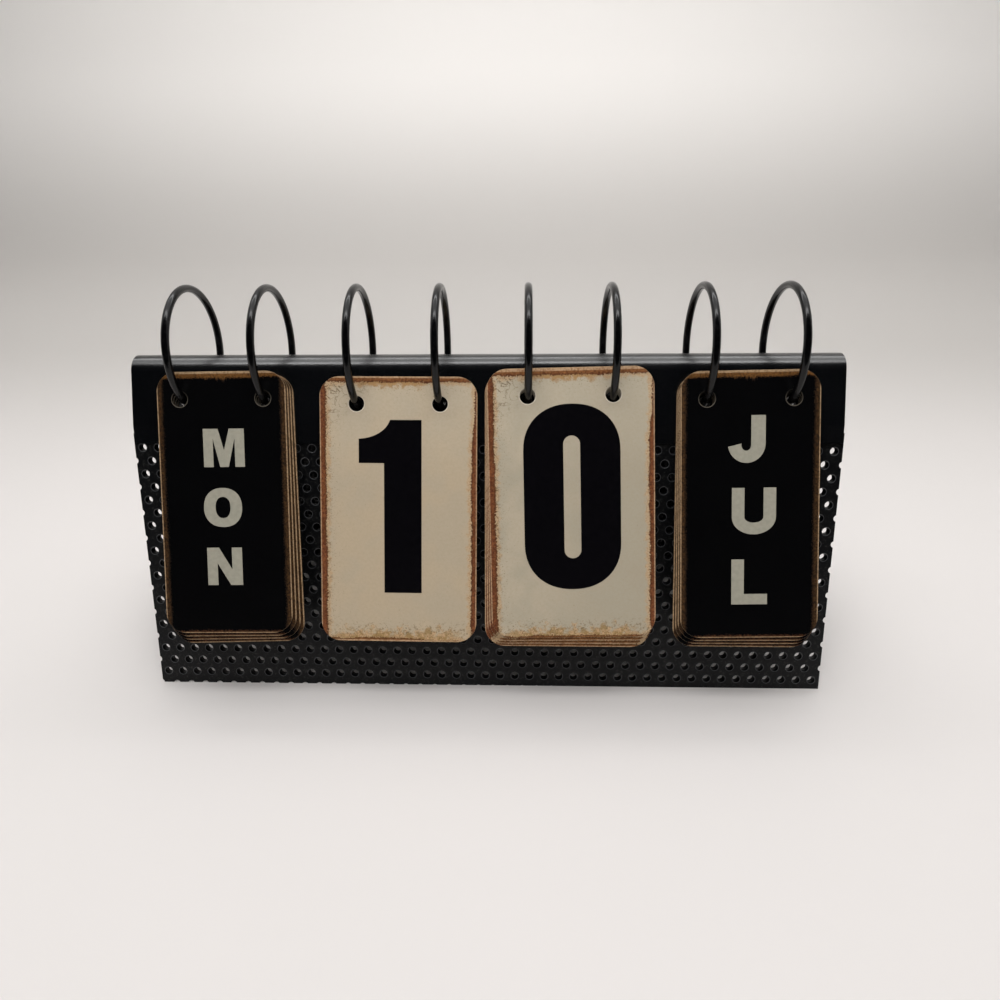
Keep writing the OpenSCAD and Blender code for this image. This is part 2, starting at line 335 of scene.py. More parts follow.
class Paint:
    """A node material: small helpers that add a node and give back its output."""

    def __init__(self, name):
        self.material = bpy.data.materials.new(name)
        self.material.use_nodes = True
        self.nodes = self.material.node_tree.nodes
        self.links = self.material.node_tree.links
        self.nodes.clear()

    def feed(self, socket, value):
        if isinstance(value, bpy.types.NodeSocket):
            self.links.new(value, socket)
        elif value is not None:
            socket.default_value = value

    def node(self, kind, settings=None, **inputs):
        made = self.nodes.new("ShaderNode" + kind)
        for key, value in (settings or {}).items():
            setattr(made, key, value)
        for key, value in inputs.items():
            self.feed(made.inputs[key.replace("_", " ")], value)
        return made

    def math(self, operation, a, b=None, c=None, clamp=False):
        made = self.nodes.new("ShaderNodeMath")
        made.operation = operation
        made.use_clamp = clamp
        for socket, value in zip(made.inputs, (a, b, c)):
            self.feed(socket, value)
        return made.outputs[0]

    def noise(self, vector, scale, detail=3.0, roughness=0.55, distortion=0.0):
        made = self.node("TexNoise", Vector=vector, Scale=scale, Detail=detail,
                         Roughness=roughness, Distortion=distortion)
        return made.outputs["Fac"]

    def step(self, value, low, high):
        """0 below low, 1 above high, and smooth between; low may be above high."""
        made = self.node("MapRange", {"interpolation_type": "SMOOTHSTEP"},
                         Value=value, From_Min=low, From_Max=high)
        return made.outputs["Result"]

    def mix(self, factor, a, b):
        """Colour a where the factor is 0 and b where it is 1; 6, 7 and 2 are colour sockets."""
        made = self.nodes.new("ShaderNodeMix")
        made.data_type = "RGBA"
        self.feed(made.inputs[0], factor)
        self.feed(made.inputs[6], a)
        self.feed(made.inputs[7], b)
        return made.outputs[2]

    def coords(self, socket="Object"):
        return self.node("TexCoord").outputs[socket]

    def spot(self):
        """The point in the piece's own axes, in millimetres."""
        return self.stretch(self.coords(), (1000, 1000, 1000))

    def stretch(self, vector, scale, offset=(0, 0, 0)):
        return self.node("Mapping", Vector=vector, Scale=scale, Location=offset).outputs[0]

    def bump(self, height, distance, strength=1.0):
        return self.node("Bump", Height=height, Distance=distance, Strength=strength).outputs[0]

    def finish(self, **inputs):
        shader = self.node("BsdfPrincipled", **inputs)
        out = self.node("OutputMaterial")
        self.links.new(shader.outputs[0], out.inputs["Surface"])
        return self.material


def rgb(r, g, b):
    """Linear colour from display values of 0 to 255."""
    out = []
    for v in (r, g, b):
        v /= 255
        out.append(v/12.92 if v <= 0.04045 else ((v + 0.055)/1.055)**2.4)
    return (*out, 1.0)


# ------------------------------------------------------------------ card paint

CORNER_R = 9.0
HOLE_R = 3.4
HOLE_DROP = 12.0        # middle of a ring hole below the card's top edge
HOLE_SPAN = 37.2        # between the middles of a card's ring holes
EDGE_ROUND = 0.16
INK = 0.02              # thickness of the print

# widths of the rusty border at a card's left, right, top and bottom edge
WORD_BORDER = (2.5, 2.6, 2.4, 1.3)
DIGIT_BORDER = (2.9, 2.4, 2.5, 1.7)


def centred(p, value, amount):
    """Noise of about 0.5 turned to a swing of that many millimetres about zero."""
    return p.math("MULTIPLY", p.math("SUBTRACT", value, 0.5), amount)


def blend(p, colour, factor, share, other):
    """The colour, with that share of the other one where the factor is 1."""
    return p.mix(p.math("MULTIPLY", factor, share), colour, other)


def flecked(p, fleck, low, high, dull, bright):
    """Two tones in flecks: dull where the noise is below low, bright where it is above high."""
    return p.mix(p.step(fleck, low, high), rgb(*dull), rgb(*bright))


def least(p, values):
    out = values[0]
    for value in values[1:]:
        out = p.math("MINIMUM", out, value)
    return out


class CardFace:
    """Places and noises on a card's face, in millimetres and as the reader of it sees them."""

    def __init__(self, p, w, h, lift):
        place = p.node("SeparateXYZ", Vector=p.spot())
        self.w, self.h = w, h
        self.normal = p.node("SeparateXYZ", Vector=p.coords("Normal")).outputs[2]
        side = p.math("SIGN", self.normal)
        self.x = p.math("MULTIPLY", place.outputs[0], side)
        self.y = place.outputs[1]
        self.flat = p.node("CombineXYZ", X=self.x, Y=self.y,
                           Z=p.math("MULTIPLY", side, 3.0)).outputs[0]
        self.left, self.right = p.math("ADD", self.x, w/2), p.math("SUBTRACT", w/2, self.x)
        self.top = p.math("SUBTRACT", h/2 + lift, self.y)
        self.bottom = p.math("ADD", self.y, h/2 - lift)
        self.level = p.math("MINIMUM", self.top, self.bottom)
        edge = least(p, (self.left, self.right, p.math("MULTIPLY", self.level, 0.7)))
        # pale line along the card's edges: bare worn edge, and a painted highlight on its rounded
        # rim
        self.worn_edge_and_highlight = p.step(edge, 0.62, 0.36)
        self.fine = p.noise(self.flat, 1.3, 4.0, 0.65)
        self.wave = p.noise(self.flat, 0.14, 2.0, 0.5)
        self.grain = p.noise(self.flat, 1.7, 4.0, 0.8)
        self.cloud = p.noise(self.flat, 0.06, 2.0)
        self.fleck = p.noise(self.flat, 1.2, 3.0, 0.65)
        self.jag = p.math("ADD", centred(p, self.fine, 3.2), centred(p, self.wave, 1.8))

    def inside(self, p, border):
        """Distances from the four edges, less the border's width at each."""
        edges = (self.left, self.right, self.top, self.bottom)
        return [p.math("SUBTRACT", edge, width) for edge, width in zip(edges, border)]

    def hole_highlight_and_shade(self, p):
        """1 on a hair line round the two ring holes, brightest below them, for a painted highlight
        on their lips, and 1 near them, for painted shade on the hole walls.
        """
        dx = p.math("SUBTRACT", p.math("ABSOLUTE", self.x), HOLE_SPAN/2)
        dy = p.math("SUBTRACT", self.y, self.h/2 - HOLE_DROP)
        away = p.math("SQRT", p.math("ADD", p.math("MULTIPLY", dx, dx),
                                     p.math("MULTIPLY", dy, dy)))
        ring = p.step(away, HOLE_R + 0.5, HOLE_R + 0.25)
        low = p.node("MapRange", Value=dy, From_Min=HOLE_R, From_Max=-HOLE_R*0.7,
                     To_Min=0.1, To_Max=1.0).outputs[0]
        return p.math("MULTIPLY", ring, low), p.step(away, HOLE_R + 1.6, HOLE_R + 0.8)


def strip_mask(p, reach, jag, soft):
    """1 on the printed border strip, where reach plus its jagged edge is below zero."""
    return p.step(p.math("ADD", reach, jag), soft, -soft)


def word_face(p, face, hole_highlight):
    """Black ground in a narrow dark border that runs down a little at the top."""
    streaks = p.noise(p.stretch(face.flat, (1, 0.3, 1)), 0.55, 3.0)
    runs = p.math("MAXIMUM", centred(p, streaks, 9.0), 0.0)
    from_middle = p.math("ABSOLUTE", p.math("ADD", face.x, 1.5))
    drip = p.math("MULTIPLY", p.step(from_middle, 13.0, 1.0), runs)
    left, right, top, bottom = face.inside(p, WORD_BORDER)
    reach = least(p, (left, right, p.math("SUBTRACT", top, drip), bottom))
    jag = p.math("ADD", face.jag, centred(p, face.grain, 3.4))
    rust = strip_mask(p, reach, jag, 0.5)

    ground = p.mix(face.cloud, rgb(5, 5, 6), rgb(8, 8, 9))
    dust = p.step(p.noise(face.flat, 7.0, 1.0), 0.8, 0.84)
    ground = blend(p, ground, dust, 0.5, rgb(52, 50, 47))

    tone = flecked(p, face.fleck, 0.3, 0.7, (20, 13, 8), (78, 54, 31))
    tone = blend(p, tone, p.step(reach, -1.2, 0.4), 0.7, rgb(22, 14, 8))
    tone = blend(p, tone, p.step(face.top, 3.8, 2.0), 0.8,
                 flecked(p, face.fleck, 0.25, 0.65, (66, 40, 16), (124, 84, 42)))
    tone = blend(p, tone, p.step(face.bottom, 2.4, 1.2), 0.8,
                 flecked(p, face.fleck, 0.3, 0.7, (46, 26, 14), (92, 56, 32)))
    # pale worn edge, with a painted highlight on the rounded rim
    tone = blend(p, tone, face.worn_edge_and_highlight, 0.9,
                 flecked(p, face.fleck, 0.3, 0.6, (130, 104, 76), (176, 148, 116)))
    # painted highlight: a light hair line round the ring holes, brightest below them
    colour = blend(p, p.mix(rust, ground, tone), hole_highlight, 0.8, rgb(104, 98, 88))
    return colour, rust


def cream_ground(p, face, reach, tint):
    """Cream enamel, with a rosy fringe at the border and stains at the head and the foot."""
    x, y, w, h, flat = face.x, face.y, face.w, face.h, face.flat
    blot = p.noise(p.stretch(flat, (1, 1, 1), (31.7, 4.1, 0)), 0.3, 5.0, 0.7)
    # greyer cream, painted darker towards the card's right as painted shade
    grey_shaded_right = p.mix(p.step(x, -0.45*w, 0.45*w), rgb(188, 176, 155), rgb(172, 162, 143))
    colour = p.mix(p.step(face.cloud, 0.35, 0.65), p.mix(tint, rgb(190, 172, 146), grey_shaded_right),
                   p.mix(tint, rgb(185, 170, 147), rgb(174, 165, 146)))
    colour = blend(p, colour, p.step(y, 0.05*h, 0.42*h), 0.3, rgb(206, 194, 172))
    colour = blend(p, colour, p.step(p.noise(flat, 0.9, 5.0, 0.6), 0.3, 0.8), 0.3,
                   rgb(168, 152, 126))

    near = p.step(p.math("ADD", reach, centred(p, blot, 7.0)), 2.4, 0.4)
    colour = blend(p, colour, near, 0.8,
                   flecked(p, face.grain, 0.4, 0.6, (172, 130, 84), (202, 176, 142)))
    foot = p.step(p.math("ADD", face.bottom, centred(p, blot, 22.0)), 6.2, 3.2)
    foot = p.math("MULTIPLY", foot, p.step(p.math("ABSOLUTE", x), 0.47*w, 0.3*w))
    patch = p.noise(p.stretch(flat, (1, 1, 1), (7.3, 0, 0)), 0.5, 4.0, 0.7)
    stain = flecked(p, patch, 0.44, 0.56, (198, 164, 124), (146, 118, 68))
    stain = blend(p, stain, p.step(face.grain, 0.5, 0.6), 0.7, rgb(150, 100, 50))
    colour = blend(p, colour, foot, 0.8, stain)
    mould = p.math("MULTIPLY", p.step(p.noise(flat, 0.75, 4.0, 0.7), 0.57, 0.62),
                   p.step(face.bottom, 11.0, 5.0))
    colour = blend(p, colour, mould, 0.7, rgb(112, 94, 60))
    head = p.step(p.math("ADD", face.top, centred(p, blot, 12.0)), 5.4, 3.4)
    from_middle = p.math("ABSOLUTE", p.math("ADD", x, 3.0))
    head = p.math("MULTIPLY", head, p.step(from_middle, 0.3*w, 0.12*w))
    return blend(p, colour, head, 0.75, p.mix(face.fine, rgb(184, 140, 88), rgb(138, 104, 56)))


def cracks_and_specks(p, face, colour):
    """Hair cracks towards the upper left corner and the left edge, and brown specks."""
    web = p.math("ABSOLUTE", centred(p, p.noise(face.flat, 0.2, 3.0, 0.6, 0.6), 1.0))
    corner = p.step(p.math("ADD", face.left, face.top), 34.0, 14.0)
    corner = p.math("MAXIMUM", corner, p.step(face.left, 6.0, 3.0))
    cracks = p.math("MULTIPLY", p.step(web, 0.022, 0.006), corner)
    colour = blend(p, colour, cracks, 0.75, rgb(104, 82, 50))
    by_edge = p.step(p.math("MINIMUM", face.left, face.level), 14.0, 2.0)
    density = p.math("ADD", p.noise(face.flat, 1.7, 3.0, 0.6), p.math("MULTIPLY", by_edge, 0.1))
    return blend(p, colour, p.step(density, 0.69, 0.73), 0.7, rgb(106, 86, 54))


def digit_face(p, face, hole_highlight, tint, faded):
    """Cream ground in a rusty border: thin at the upper right, and at the foot where faded."""
    narrow = p.step(face.y, face.h/2 - 34, face.h/2 - 14)
    fade = p.math("MULTIPLY", p.step(face.x, -0.02*face.w, 0.28*face.w), faded)
    left, right, top, bottom = face.inside(p, DIGIT_BORDER)
    right = p.math("ADD", right, p.math("MULTIPLY", narrow, 1.3))
    reach = least(p, (left, right, top, p.math("ADD", bottom, fade)))
    rust = strip_mask(p, reach, face.jag, 0.15)
    ground = cracks_and_specks(p, face, cream_ground(p, face, reach, tint))

    tone = flecked(p, face.fleck, 0.28, 0.72, (78, 34, 18), (138, 84, 48))
    tone = blend(p, tone, p.step(face.wave, 0.4, 0.6), 0.5, rgb(86, 46, 18))
    tone = blend(p, tone, p.step(face.level, 2.8, 1.6), 0.7,
                 flecked(p, face.fleck, 0.3, 0.7, (94, 52, 20), (156, 104, 58)))
    tone = blend(p, tone, p.step(face.bottom, 2.6, 1.4), 0.7,
                 flecked(p, face.fleck, 0.3, 0.7, (104, 66, 32), (154, 108, 64)))
    inner = p.step(p.math("ADD", reach, face.jag), -1.1, -0.3)
    tone = blend(p, tone, inner, 0.7, rgb(76, 42, 18))
    # pale worn edge, with a painted highlight on the rounded rim
    tone = blend(p, tone, face.worn_edge_and_highlight, 0.7,
                 flecked(p, face.fleck, 0.3, 0.6, (160, 120, 82), (206, 176, 142)))
    # painted highlight: a light hair line round the ring holes, brightest below them
    colour = blend(p, p.mix(rust, ground, tone), hole_highlight, 0.9, rgb(232, 222, 204))
    return colour, rust


def card_paint(name, size, dark, lift, tint, faded):
    """Printed tin: a plain ground inside a rusty border, laid out from the card's size."""
    p = Paint(name)
    face = CardFace(p, size[0], size[1], lift)
    hole_highlight, hole_wall_shade = face.hole_highlight_and_shade(p)
    if dark:
        colour, rust = word_face(p, face, hole_highlight)
        bare = (92, 72, 52), (154, 128, 98)
    else:
        colour, rust = digit_face(p, face, hole_highlight, tint, faded)
        bare = (128, 102, 74), (194, 166, 132)

    # bare rim of the sheet
    rim = p.step(p.math("ABSOLUTE", face.normal), 0.92, 0.6)
    rim_colour = flecked(p, face.fine, 0.35, 0.65, *bare)
    # painted shade: the walls and rounded edges of the ring holes are darkened
    rim_colour = blend(p, rim_colour, hole_wall_shade, 0.9, rgb(44, 38, 32))
    colour = p.mix(rim, colour, rim_colour)

    height = p.math("ADD", p.math("MULTIPLY", rust, p.math("MULTIPLY", face.grain, 0.6)),
                    p.math("MULTIPLY", face.fine, 0.15))
    rough = p.math("ADD", 0.24 if dark else 0.36, p.math("MULTIPLY", rust, 0.24))
    rough = p.math("ADD", rough, centred(p, face.fine, 0.08))
    return p.finish(Base_Color=colour, Roughness=rough, Specular_IOR_Level=0.2 if dark else 0.35,
                    Normal=p.bump(height, 0.00006, 0.5))


def print_paint(name, dark):
    """Ink of the letters and digits, slightly uneven."""
    p = Paint(name)
    spot = p.spot()
    wear = p.noise(spot, 0.5, 5.0, 0.6)
    if dark:
        colour = p.mix(p.step(wear, 0.3, 0.75), rgb(5, 4, 7), rgb(9, 8, 11))
    else:
        colour = p.mix(p.step(wear, 0.3, 0.7), rgb(166, 161, 146), rgb(154, 151, 137))
        nick = p.step(p.noise(spot, 2.4, 3.0, 0.7), 0.72, 0.8)
        colour = p.mix(p.math("MULTIPLY", nick, 0.3), colour, rgb(116, 110, 96))
    rough = p.math("ADD", 0.28, p.math("MULTIPLY", wear, 0.1))
    return p.finish(Base_Color=colour, Roughness=rough, Specular_IOR_Level=0.2 if dark else 0.4,
                    Normal=p.bump(p.noise(spot, 3.0, 2.0), 0.00002, 0.5))


def easel_paint(name, rough_low, rough_high, specular, lift=0):
    """Black powder coat: orange peel, fine specks and a little dust on what faces up."""
    p = Paint(name)
    spot = p.spot()
    peel = p.noise(spot, 1.5, 2.0, 0.5)
    specks = p.step(p.noise(spot, 4.0, 2.0, 0.6), 0.68, 0.78)
    cloud = p.noise(spot, 0.05, 3.0, 0.6)
    colour = p.mix(cloud, rgb(4 + lift, 5 + lift, 7 + lift), rgb(8 + lift, 9 + lift, 11 + lift))
    colour = blend(p, colour, specks, 0.4, rgb(46, 46, 48))
    up = p.node("SeparateXYZ", Vector=p.coords("Normal")).outputs[2]
    dust = p.math("MULTIPLY", p.step(up, 0.6, 1.0), p.step(p.noise(spot, 0.9, 5.0, 0.7), 0.5, 0.8))
    colour = blend(p, colour, dust, 0.3, rgb(104, 102, 98))
    rough = p.node("MapRange", Value=cloud, From_Min=0.2, From_Max=0.8,
                   To_Min=rough_low, To_Max=rough_high).outputs[0]
    return p.finish(Base_Color=colour, Roughness=rough, Specular_IOR_Level=specular,
                    Normal=p.bump(peel, 0.00005, 0.7))


def wire_paint():
    """Gloss black plastic over the ring wire, rubbed lighter in patches."""
    p = Paint("ring_wire_gloss")
    spot = p.spot()
    rub = p.noise(spot, 0.7, 4.0, 0.6)
    colour = p.mix(p.step(rub, 0.45, 0.75), rgb(4, 4, 5), rgb(18, 17, 17))
    rough = p.math("ADD", 0.1, p.math("MULTIPLY", rub, 0.14))
    return p.finish(Base_Color=colour, Roughness=rough, Specular_IOR_Level=0.3,
                    Normal=p.bump(p.noise(spot, 1.2, 2.0), 0.00003, 0.5))


# ------------------------------------------------------------------ the cards


def card_frame(node):
    """Place of a CAD card: the matrix from card axes (x right, y up, z out), and its size.

    The longest edges of the node's faces are the straight sides of the card."""
    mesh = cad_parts[node].data
    upper = [face for face in mesh.polygons if face.normal.z > 0]
    outward = max(upper, key=lambda face: face.area).normal.copy()
    used = {}
    for face in mesh.polygons:
        if face.normal.dot(outward) > 0.99:
            for key in face.edge_keys:
                used[key] = used.get(key, 0) + 1
    rim = [key for key, times in used.items() if times == 1]
    points = [v.co for v in mesh.vertices]
    a, b = max(rim, key=lambda key: (points[key[0]] - points[key[1]]).length)
    up = points[a] - points[b]
    up *= math.copysign(1, up.z)
    up.normalize()
    right = up.cross(outward).normalized()
    axes = (right, up, outward)
    low = Vector([min(p.dot(axis) for p in points) for axis in axes])
    high = Vector([max(p.dot(axis) for p in points) for axis in axes])
    size = (high - low)/MM
    middle = sum((axis*m for axis, m in zip(axes, (low + high)/2)), Vector())
    turn = Matrix(axes).transposed().to_4x4()
    return Matrix.Translation(middle) @ turn, size


def card_outline(w, h):
    """Round-cornered card with its two ring holes."""
    x, y = w/2 - CORNER_R, h/2 - CORNER_R
    lines = [arc(x, y, CORNER_R, CORNER_R, 0, 90, 14) + arc(-x, y, CORNER_R, CORNER_R, 90, 180, 14)
             + arc(-x, -y, CORNER_R, CORNER_R, 180, 270, 14)
             + arc(x, -y, CORNER_R, CORNER_R, 270, 360, 14)]
    for end in (-1, 1):
        lines.append(arc(end*HOLE_SPAN/2, h/2 - HOLE_DROP, HOLE_R, HOLE_R, 0, 360, 36)[:-1])
    return lines


# how far up a card's border is printed, in millimetres, how grey its cream is and with it
# how much painted shade darkens it towards the right, and whether the border runs out at the foot
PRINT = {"tens_card_1": (0.0, 0.0, 1.0), "unit_card_4": (-0.7, 0.9, 0.0)}
OTHER_PRINT = (-0.3, 0.5, 0.0)


def make_cards():
    inks = {True: print_paint("word_ink", False), False: print_paint("digit_ink", True)}
    for stack, (front, back, reverse) in STACKS.items():
        dark = stack in WORD_SET
        for i, text in enumerate(front + back):
            node = f"{stack}_card_{i + 1}"
            matrix, size = card_frame(node)
            w, h, t = size
            paint = card_paint(node + "_paint", size, dark, *PRINT.get(node, OTHER_PRINT))
            plate = new_object(node + "_plate", flat_mesh(node, card_outline(w, h), t, EDGE_ROUND),
                               paint, matrix)
            for face in plate.data.polygons:
                face.use_smooth = False
            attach(plate, node)
            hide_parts(node)

            # a card behind the easel has its reading face towards the skirt
            outer, inner = (text, reverse[i]) if i < len(front) else (reverse[i], text)
            faces = []
            lift = (t/2 + INK/2)*MM
            for words, turn in ((outer, Matrix.Identity(4)),
                                (inner, Matrix.Rotation(math.pi, 4, "Y"))):
                if words:
                    mesh = flat_mesh(node + "_ink", face_outlines(stack, words, h), INK)
                    faces.append((mesh, turn @ Matrix.Translation((0, 0, lift))))
            ink = new_object(node + "_print", joined(node + "_print", faces), inks[dark], matrix)
            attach(ink, node)


# ------------------------------------------------------------------ easel and rings

SHEET_T = 1.0
HOLE_SIDES = 12
HOLE_LIP = 2.1          # radius of a drawn hole at the sheet's faces
HOLE_WAIST = 1.6
# drawn hole from the front face to the back one: radius, height from the sheet's middle
HOLE_PROFILE = [(HOLE_LIP, 0.5), (1.8, 0.44), (1.68, 0.14), (HOLE_WAIST, -2.9),
                (1.82, -2.9), (HOLE_LIP, -0.5)]
# paint on the stretches between those points: 0 the sheet's, 1 the lip's, a lighter copy as
# painted highlight, 2 the collar's, a darker copy as painted shade
HOLE_PAINTS = (1, 2, 2, 0, 0)
# how far the notches of cut holes lie outwards at the side edges, and at the foot
NOTCH_SHIFT = (0.8, 0.5)


def face_loops(mesh, outward):
    """Boundary loops of the mesh's faces that look outward, as lists of points."""
    used = {}
    for face in mesh.polygons:
        if face.normal.dot(outward) > 0.999:
            corners = list(face.vertices)
            for a, b in zip(corners, corners[1:] + corners[:1]):
                if (b, a) in used:
                    del used[(b, a)]
                else:
                    used[(a, b)] = True
    after = {a: b for a, b in used}
    loops = []
    while after:
        start, here = after.popitem()
        loop = [start]
        while here != start:
            loop.append(here)
            here = after.pop(here)
        loops.append([mesh.vertices[k].co.copy() for k in loop])
    return loops


def circle_centre(a, b, c):
    """Centre of the circle through three points of the plane."""
    (ax, ay), (bx, by), (cx, cy) = a, b, c
    d = 2*(ax*(by - cy) + bx*(cy - ay) + cx*(ay - by))
    aa, bb, cc = ax*ax + ay*ay, bx*bx + by*by, cx*cx + cy*cy
    return ((aa*(by - cy) + bb*(cy - ay) + cc*(ay - by))/d,
            (aa*(cx - bx) + bb*(ax - cx) + cc*(bx - ax))/d)


def notch_ends(old_ends, centre, radius, on_edge):
    """Where a notch's circle cuts the outline's edges, on the side of the notch's old ends."""
    cx, cy = centre
    ends = []
    for end in old_ends:
        k = on_edge(end)[0]
        depth = abs(end[k] - centre[k])
        if depth < radius - 0.1:
            half = math.copysign(math.sqrt(radius**2 - depth**2), end[1 - k] - centre[1 - k])
            ends.append((end[0], cy + half) if k == 0 else (cx + half, end[1]))
    return ends


def notch_arc(ends, centre, radius, middle, steps=8):
    """Points along a notch's circle from end to end, past the side where middle lies."""
    cx, cy = centre
    angle = [math.atan2(y - cy, x - cx) for x, y in ends]
    via = math.atan2(middle[1] - cy, middle[0] - cx)
    to_via = (via - angle[0] + math.pi) % (2*math.pi) - math.pi
    sweep = (angle[1] - angle[0]) % (2*math.pi)
    if to_via < 0:
        sweep -= 2*math.pi
    between = [angle[0] + sweep*i/steps for i in range(1, steps)]
    arc_points = [(cx + radius*math.cos(a), cy + radius*math.sin(a)) for a in between]
    return [ends[0]] + arc_points + [ends[1]]


def smaller_notches(points, radius, away):
    """The sheet's outline with the notches of holes in its edges cut to a radius.

    Their centres move outwards from the side edges and the foot by the two lengths away."""
    low = [min(p[k] for p in points) for k in (0, 1)]
    high = [max(p[k] for p in points) for k in (0, 1)]

    def on_edge(p):
        return [k for k in (0, 1) if min(p[k] - low[k], high[k] - p[k]) < 0.01]

    corner = next(i for i in range(len(points)) if on_edge(points[i]) and on_edge(points[i - 1]))
    points = points[corner:] + points[:corner + 1]
    out, run = [points[0]], []
    for point in points[1:]:
        if not on_edge(point):
            run.append(point)
        elif run:
            start, middle = out.pop(), run[len(run)//2]
            centre = list(circle_centre(start, middle, point))
            k = on_edge(start)[0]
            centre[k] += math.copysign(away[k], 2*start[k] - low[k] - high[k])
            ends = notch_ends((start, point), centre, radius, on_edge)
            if len(ends) == 2:
                out += notch_arc(ends, centre, radius, middle)
            run = []
        else:
            out.append(point)
    return out[:-1] if out[-1] == out[0] else out


def draw_holes(made, centres, lines):
    """Swap the straight walls of a sheet's holes, whose rims are lines, for drawn ones."""
    rims = {(round(x, 2), round(y, 2)) for line in lines for x, y in line}
    walls = [face for face in made.faces if abs(face.normal.z) < 0.5 and all(
        (round(v.co.x/MM, 2), round(v.co.y/MM, 2)) in rims for v in face.verts)]
    bmesh.ops.delete(made, geom=walls, context="FACES_ONLY")
    for cx, cy in centres:
        circles = [[made.verts.new((x*MM, y*MM, z*MM)) for x, y in
                    arc(cx, cy, r, r, 0, 360, HOLE_SIDES)[:-1]] for r, z in HOLE_PROFILE]
        for paint, one, two in zip(HOLE_PAINTS, circles, circles[1:]):
            for i in range(HOLE_SIDES):
                j = (i + 1) % HOLE_SIDES
                face = made.faces.new((one[i], two[i], two[j], one[j]))
                face.smooth = True
                face.material_index = paint
    bmesh.ops.remove_doubles(made, verts=made.verts[:], dist=2e-6)
    bmesh.ops.recalc_face_normals(made, faces=made.faces[:])


def make_screen(node, paint, lip, collar):
    """The perforated sheet again, with the lips and inner collars of its punched holes."""
    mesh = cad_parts[node].data
    upper = [face for face in mesh.polygons if face.normal.z > 0]
    outward = max(upper, key=lambda face: face.area).normal.copy()
    right = Vector((0, 0, 1)).cross(outward).normalized()
    up = outward.cross(right)
    loops = sorted(face_loops(mesh, outward), key=len, reverse=True)
    level = loops[0][0].dot(outward)
    flat = [[(p.dot(right)/MM, p.dot(up)/MM) for p in loop] for loop in loops]
    centres = [[sum(p[k] for p in loop)/len(loop) for k in (0, 1)] for loop in flat[1:]]
    rims = [arc(cx, cy, HOLE_LIP, HOLE_LIP, 0, 360, HOLE_SIDES)[:-1] for cx, cy in centres]
    outline = smaller_notches(flat[0], HOLE_WAIST, NOTCH_SHIFT)
    sheet = flat_mesh(node, [outline] + rims, SHEET_T)

    made = bmesh.new()
    made.from_mesh(sheet)
    made.normal_update()
    draw_holes(made, centres, rims)
    turn = Matrix((right, up, outward)).transposed().to_4x4()
    place = turn @ Matrix.Translation((0, 0, level - SHEET_T/2*MM))
    for vert in made.verts:         # the foot is cut level with the table
        sunk = min((place @ vert.co).z, 0)
        vert.co.y -= sunk/up.z
    made.to_mesh(sheet)
    made.free()
    bands = [face.material_index for face in sheet.polygons]
    sheet = new_object(node + "_sheet", sheet, paint, place)
    sheet.data.materials.append(lip)
    sheet.data.materials.append(collar)
    sheet.data.polygons.foreach_set("material_index", bands)
    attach(sheet, "stand")
    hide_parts(node)


def dress_easel():
    cap = easel_paint("cap_powder_coat", 0.2, 0.28, 0.8)
    screen = easel_paint("screen_powder_coat", 0.34, 0.42, 0.22)
    # the holes' lips get a lighter copy of the coat as painted highlight, their collars a darker
    # one as painted shade
    lip = easel_paint("hole_lip_coat_painted_highlight", 0.3, 0.36, 0.6, 56)
    collar = easel_paint("hole_collar_coat_painted_shade", 0.5, 0.6, 0.15, -3)
    wire = wire_paint()
    for name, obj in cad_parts.items():
        if "card" in name:
            continue
        obj.data.materials.clear()
        obj.data.materials.append(wire if "ring" in name else cap if "cap" in name else screen)
    for node in ("front_screen", "back_screen"):
        make_screen(node, screen, lip, collar)


# ------------------------------------------------------------------ stage, light, camera

ROOM_WHITE = (1.0, 0.985, 0.97, 1)
ROOM_SEEN = 0.8         # how bright the room looks behind and around the sweep
# the photograph's camera: place in metres, turns in degrees, focal length and image width in
# pixels, and sensor width in millimetres
CAMERA_PLACE = (0.016847, -0.300681, 0.245614)
CAMERA_TURNS = (-2.022, 30.066, -0.856)
FOCAL_PX, IMAGE_PX = 692.2, 1000.0
SENSOR = 36.0


def seen_ray(nodes, links):
    """1 for rays that show the background: the camera's, also mirrored or through a piece."""
    ray = nodes.new("ShaderNodeLightPath")
    seen = ray.outputs["Is Camera Ray"]
    for kind in ("Is Glossy Ray", "Is Transmission Ray"):
        either = nodes.new("ShaderNodeMath")
        either.operation = "MAXIMUM"
        links.new(seen, either.inputs[0])
        links.new(ray.outputs[kind], either.inputs[1])
        seen = either.outputs[0]
    return seen


